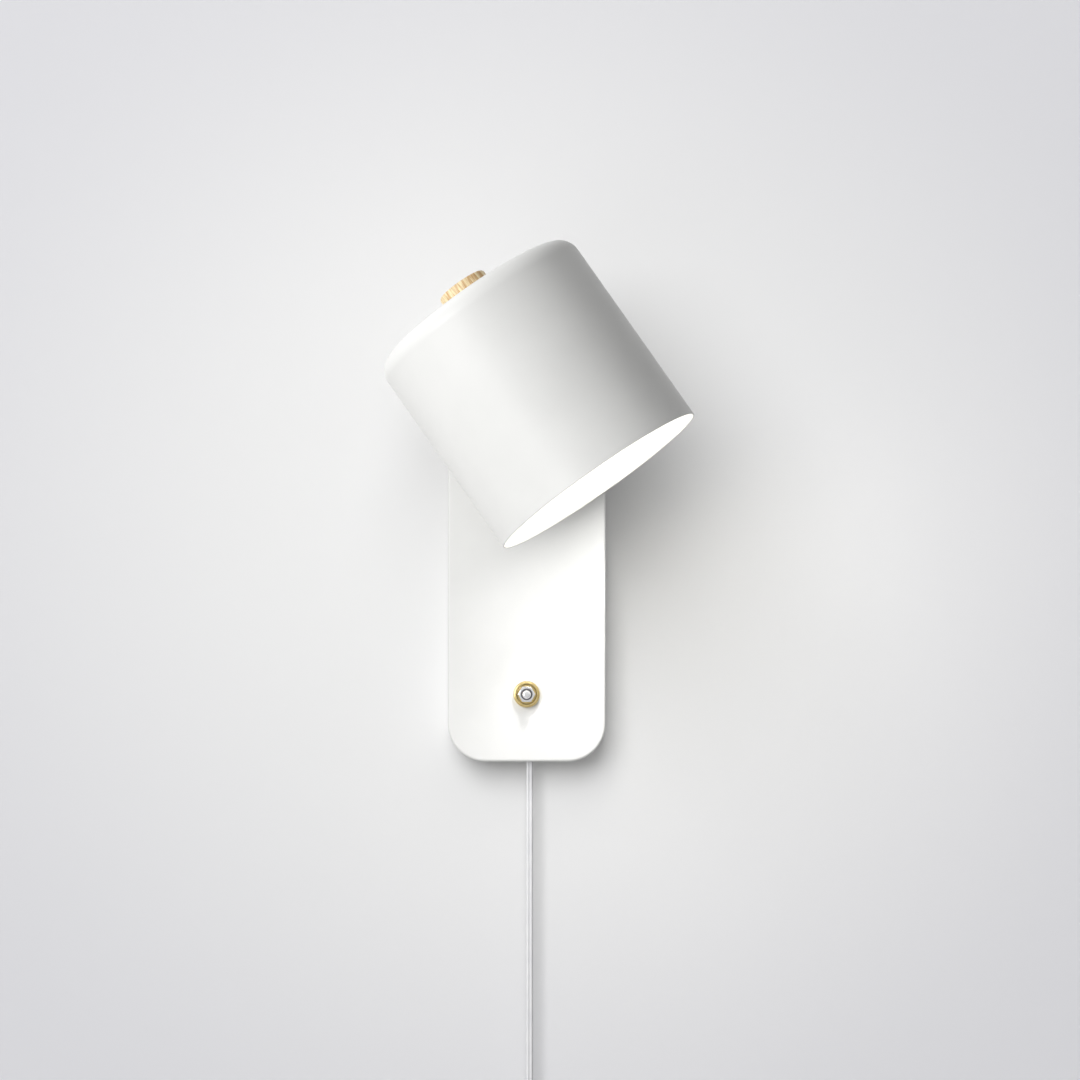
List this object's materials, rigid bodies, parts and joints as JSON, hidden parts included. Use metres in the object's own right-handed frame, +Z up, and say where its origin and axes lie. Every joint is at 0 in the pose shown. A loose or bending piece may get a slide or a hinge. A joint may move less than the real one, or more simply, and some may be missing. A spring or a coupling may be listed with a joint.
{
  "type": "plug-in wall lamp",
  "caption": "Wall lamp with a tall round-cornered plate, a drum shade on a turning and tilting joint, a push switch, and a hanging flat cord with a plug.",
  "frame": {"origin": "middle of the wall bracket's back face, halfway between the two wall screw holes", "axes": "+Z up, the lamp's front looks along -Y, so +Y points into the wall, and +X is to the right for someone who faces the lamp"},
  "size_m": [0.199, 0.2156, 0.766],
  "materials": {
    "white_paint": "smooth matt white powder coat",
    "white_metal": "cast and machined, painted white to match",
    "zinc_steel": "zinc plated",
    "black_steel": "black oxide",
    "nickel": "bright nickel plate",
    "dark_metal": "dark burnished thread",
    "brass": "polished",
    "light_wood": "turned beech or oak, oiled",
    "nylon": "natural nylon",
    "white_plastic": "moulded, satin",
    "black_plastic": "moulded, matt",
    "opal": "opal diffuser, lit warm white",
    "white_cord": "flexible sheath, satin",
    "blue_wire": "flexible insulation",
    "brown_wire": "flexible insulation"
  },
  "bodies": {
    "wall_part": {"cover": "white_paint", "wall_bracket": "zinc_steel", "cover_screws": "black_steel", "swivel_base": "white_metal", "swivel_washer": "zinc_steel", "swivel_nut": "zinc_steel", "switch_ring": "brass", "switch_nut": "nickel", "switch_bushing": "dark_metal", "switch_case": "black_plastic", "switch_tags": "brass", "switch_spring": "zinc_steel", "terminal_block": "white_plastic", "terminal_screws": "brass", "block_screw": "zinc_steel", "mains_wires": "blue_wire", "switch_wire": "brown_wire", "riser_lead": "white_cord", "clamp_base": "white_plastic", "clamp_bridge": "white_plastic", "clamp_screws": "zinc_steel", "cord_inside": "white_cord", "cord_grommet": "white_plastic", "cord_hanging": "white_cord", "cord_coil": "white_cord", "cord_tail": "white_cord", "cord_tie": "white_plastic", "plug_body": "white_plastic", "plug_sleeves": "white_plastic", "plug_pins": "nickel"},
    "fork": {"swivel_fork": "white_metal", "swivel_slide_washer": "nylon", "swivel_spring_washer": "zinc_steel", "swivel_end_washer": "zinc_steel", "swivel_clip": "zinc_steel", "swivel_stop_pin": "zinc_steel", "tilt_screw": "zinc_steel", "tilt_nut": "zinc_steel", "tilt_washers": "nylon"},
    "shade_part": {"tilt_eye": "white_metal", "shade_saddle": "white_metal", "shade": "white_paint", "shade_inner_plate": "zinc_steel", "shade_nut": "zinc_steel", "holder_nipple": "zinc_steel", "holder_nut": "zinc_steel", "wood_cap": "light_wood", "cap_insert": "brass", "holder_cap": "white_plastic", "holder_skirt": "white_plastic", "holder_core": "white_plastic", "holder_thread": "nickel", "holder_contact": "brass", "bulb_globe": "opal", "bulb_collar": "white_plastic", "bulb_thread": "nickel", "bulb_insulator": "black_plastic", "bulb_tip": "nickel", "lamp_lead": "white_cord"},
    "button": {"switch_button": "nickel"}
  },
  "joints": [
    {"name": "shade_pan", "type": "hinge", "parent": "wall_part", "child": "fork", "pos_m": [0, -0.044, 0.103], "axis": [0, 1, 0], "range_deg": [-130, 200]},
    {"name": "shade_tilt", "type": "hinge", "parent": "fork", "child": "shade_part", "pos_m": [0, -0.044, 0.103], "axis": [-0.8192, 0, -0.5736], "range_deg": [-21, 24]},
    {"name": "button_press", "type": "slide", "parent": "wall_part", "child": "button", "axis": [0, 1, 0], "range_m": [0, 0.0035], "stiffness_N_per_m": 400, "springref_m": -0.001, "deforming": ["switch_spring"]}
  ]
}
